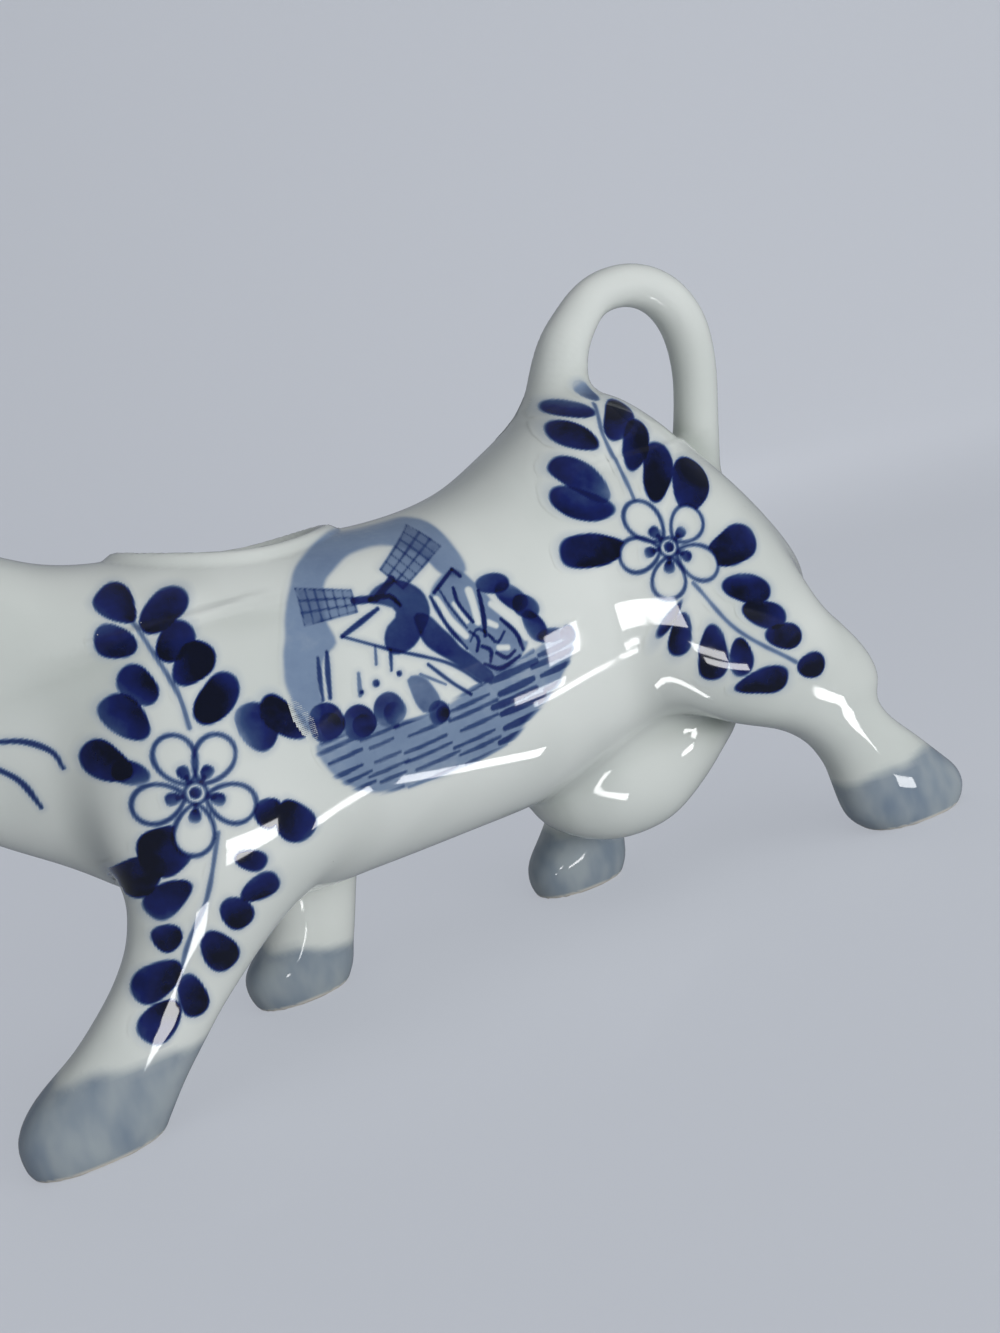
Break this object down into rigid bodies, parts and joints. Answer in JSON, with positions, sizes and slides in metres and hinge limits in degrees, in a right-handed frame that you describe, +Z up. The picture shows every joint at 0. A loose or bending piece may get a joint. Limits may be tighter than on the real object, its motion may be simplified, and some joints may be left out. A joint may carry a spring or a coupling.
{
  "type": "cow creamer",
  "caption": "Hollow cow-shaped cream jug: filled through an oval opening in the back, held by the looped tail and poured through the open mouth.",
  "frame": {"origin": "on the table plane under the middle of the bounding box", "axes": "+X points from the head to the tail, +Z up, so the animal's left side faces -Y"},
  "size_m": [0.1849, 0.0554, 0.105],
  "materials": {
    "white_glaze": "clear glossy glaze over a white body, with cobalt painting under it",
    "hoof_glaze": "clear glossy glaze over a thin grey-blue wash"
  },
  "bodies": {
    "root": {"body_shell": "white_glaze", "head_shell": "white_glaze", "left_horn": "white_glaze", "right_horn": "white_glaze", "left_ear": "white_glaze", "right_ear": "white_glaze", "tail_handle": "white_glaze", "udder": "white_glaze", "left_fore_leg": "white_glaze", "right_fore_leg": "white_glaze", "left_hind_leg": "white_glaze", "right_hind_leg": "white_glaze", "left_fore_hoof": "hoof_glaze", "right_fore_hoof": "hoof_glaze", "left_hind_hoof": "hoof_glaze", "right_hind_hoof": "hoof_glaze"}
  },
  "joints": []
}
